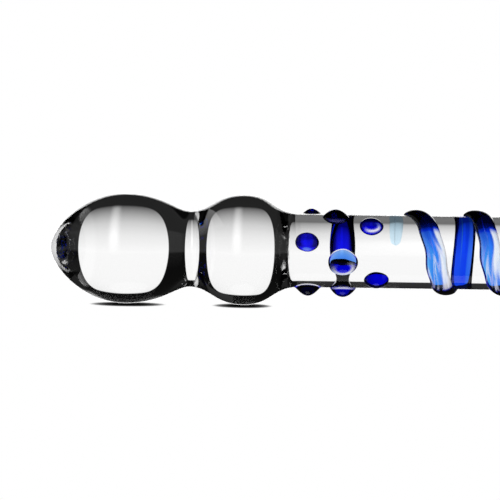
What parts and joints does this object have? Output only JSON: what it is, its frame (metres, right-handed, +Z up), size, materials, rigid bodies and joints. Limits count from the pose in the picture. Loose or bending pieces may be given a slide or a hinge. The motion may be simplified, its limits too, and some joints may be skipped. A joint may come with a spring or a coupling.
{
  "type": "glass wand",
  "caption": "Solid clear glass wand with a double-bulb head, raised blue glass nubs, a blue spiral trail and a round end knob.",
  "frame": {"origin": "under the middle of the wand's length, on the surface that it lies on", "axes": "+X along the wand from the tip to the end knob, +Y across it to the back, +Z up"},
  "size_m": [0.2, 0.0384, 0.0384],
  "materials": {
    "clear_glass": "clear, fire-polished",
    "cobalt_glass": "transparent cobalt blue, fire-polished",
    "azure_glass": "transparent azure blue with streaks, fire-polished"
  },
  "bodies": {
    "root": {"clear_body": "clear_glass", "ring1_front_nub": "cobalt_glass", "ring1_top_nub": "cobalt_glass", "ring1_back_nub": "cobalt_glass", "ring1_bottom_nub": "cobalt_glass", "ring2_front_nub": "cobalt_glass", "ring2_top_nub": "cobalt_glass", "ring2_back_nub": "cobalt_glass", "ring2_bottom_nub": "cobalt_glass", "ring3_upper_front_nub": "cobalt_glass", "ring3_upper_back_nub": "cobalt_glass", "ring3_lower_back_nub": "cobalt_glass", "ring3_lower_front_nub": "cobalt_glass", "blue_trail": "azure_glass"}
  },
  "joints": []
}
